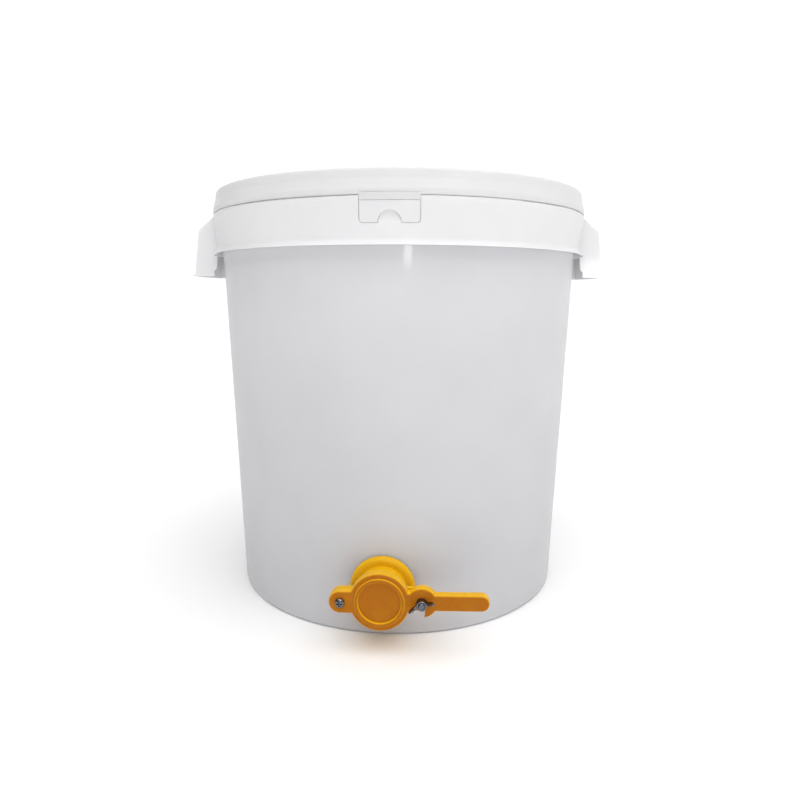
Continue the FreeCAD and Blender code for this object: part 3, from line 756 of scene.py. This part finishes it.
class FERMENTER_OT_stage(bpy.types.Operator):
    """Set up the floor, the soft lights, the room and the camera"""
    bl_idname = "fermenter.stage"
    bl_label = "Stage"

    def execute(self, context):
        setup = context.scene.fermenter_stage
        self.lay_floor(setup)
        self.light_room(setup)
        # Overhead light as wide as the room, a softbox high on the right, and a small lamp beside the lens.
        self.lamp("overhead", "SUN", (0.15, -0.8, 3), (0, 0, 0), energy=2.45, angle=math.radians(80))
        self.lamp("softbox", "AREA", (1.3, -1.3, 1.3), (0, 0, 0.2), energy=0.8, shape="RECTANGLE", size=0.9,
                  size_y=1.4)
        self.lamp("glint", "AREA", (0.13, -0.82, 0.34), (0, 0, 0.33), energy=0.38, shape="RECTANGLE", size=0.06,
                  size_y=0.06)
        self.point_camera(context, setup)
        context.scene.view_settings.view_transform = "Standard"
        return {"FINISHED"}

    def lay_floor(self, setup):
        """A flat square of paper, large enough that its far edge is lost in the light."""
        half = 6.0
        corners = [(-half, -half, 0), (half, -half, 0), (half, half, 0), (-half, half, 0)]
        mesh = bpy.data.meshes.new("floor")
        mesh.from_pydata(corners, [], [(0, 1, 2, 3)])
        mesh.materials.append(seamless_paper("seamless_paper", setup.floor))
        floor = bpy.data.objects.new("floor", mesh)
        bpy.context.scene.collection.objects.link(floor)

    def light_room(self, setup):
        """A pale room: a lit wall behind the object, a bright band at eye level and a dim left side."""
        room = bpy.data.worlds.new("room")
        room.use_nodes = True
        tree = room.node_tree
        tree.nodes.clear()
        where = add(tree, "ShaderNodeTexCoord").outputs["Generated"]
        axes = add(tree, "ShaderNodeSeparateXYZ", {"Vector": where}).outputs
        sides = spread(tree, axes["X"], 0.2 * setup.sky, 0.75 * setup.sky, -0.75, 0.1)
        eye_level = spread(tree, axes["X"], 0.6, 0.85, -0.9, 0.1)
        near = ease(tree, sums(tree, "ABSOLUTE", axes["Z"]), 0.30, 0.06)
        sides = add(tree, "ShaderNodeMix", {0: near, 2: sides, 3: eye_level}).outputs[0]
        # The lit wall stands behind the object and ends well above the lens.
        wall = sums(tree, "MULTIPLY", ease(tree, axes["Y"], 0.66, 0.77), ease(tree, axes["Z"], 0.62, 0.46))
        glow = add(tree, "ShaderNodeMix", {0: wall, 2: sides, 3: setup.backdrop}).outputs[0]
        light = add(tree, "ShaderNodeBackground", {"Color": (1, 1, 1, 1), "Strength": glow}).outputs[0]
        add(tree, "ShaderNodeOutputWorld", {"Surface": light})
        bpy.context.scene.world = room

    def lamp(self, name, kind, place, target, **settings):
        """One lamp, turned to face a point."""
        data = bpy.data.lights.new(name, kind)
        for key, value in settings.items():
            setattr(data, key, value)
        lamp = bpy.data.objects.new(name, data)
        lamp.location = place
        lamp.rotation_euler = (Vector(target) - Vector(place)).to_track_quat("-Z", "Y").to_euler()
        bpy.context.scene.collection.objects.link(lamp)

    def point_camera(self, context, setup):
        """A camera in front of the tap and slightly to its right, below the height of the lid."""
        place = Vector((0.05276, -0.70172, 0.3003))
        data = bpy.data.cameras.new("camera")
        data.lens = setup.lens
        data.sensor_width = 36.0
        data.clip_start = 0.01
        camera = bpy.data.objects.new("camera", data)
        turn = Matrix.Rotation(setup.heading, 4, "Z") @ Matrix.Rotation(math.pi / 2 - setup.tilt, 4, "X")
        turn = turn @ Matrix.Rotation(setup.roll, 4, "Z")
        camera.matrix_world = Matrix.Translation(place) @ turn
        context.scene.collection.objects.link(camera)
        context.scene.camera = camera


STEPS = [FERMENTER_OT_white_mouldings, FERMENTER_OT_lip_bead, FERMENTER_OT_inlet_scars, FERMENTER_OT_tap_mouldings,
         FERMENTER_OT_gaskets, FERMENTER_OT_bolts, FERMENTER_OT_washers, FERMENTER_OT_wing_nut, FERMENTER_OT_stage]
GROUPS = {"fermenter_bucket": BucketLooks, "fermenter_tap": TapLooks, "fermenter_fasteners": FastenerSizes,
          "fermenter_stage": StageSetup}


class FERMENTER_PT_steps(bpy.types.Panel):
    """Lists the steps that finish the bucket, and the sizes and colours that they use"""
    bl_idname = "FERMENTER_PT_steps"
    bl_label = "Fermenting bucket"
    bl_space_type = "VIEW_3D"
    bl_region_type = "UI"
    bl_category = "Fermenter"

    def draw(self, context):
        for step in STEPS:
            self.layout.operator(step.bl_idname)
        for group, kind in GROUPS.items():
            box = self.layout.box()
            for field in kind.__annotations__:
                box.prop(getattr(context.scene, group), field)


def register():
    for kind in [*GROUPS.values(), *STEPS, FERMENTER_PT_steps]:
        bpy.utils.register_class(kind)
    for group, kind in GROUPS.items():
        setattr(bpy.types.Scene, group, PointerProperty(type=kind))


def unregister():
    for group in GROUPS:
        delattr(bpy.types.Scene, group)
    for kind in reversed([*GROUPS.values(), *STEPS, FERMENTER_PT_steps]):
        bpy.utils.unregister_class(kind)


def main():
    """Registers the add-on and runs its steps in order."""
    register()
    for step in STEPS:
        group, name = step.bl_idname.split(".")
        getattr(getattr(bpy.ops, group), name)()


if __name__ == "__main__":
    main()
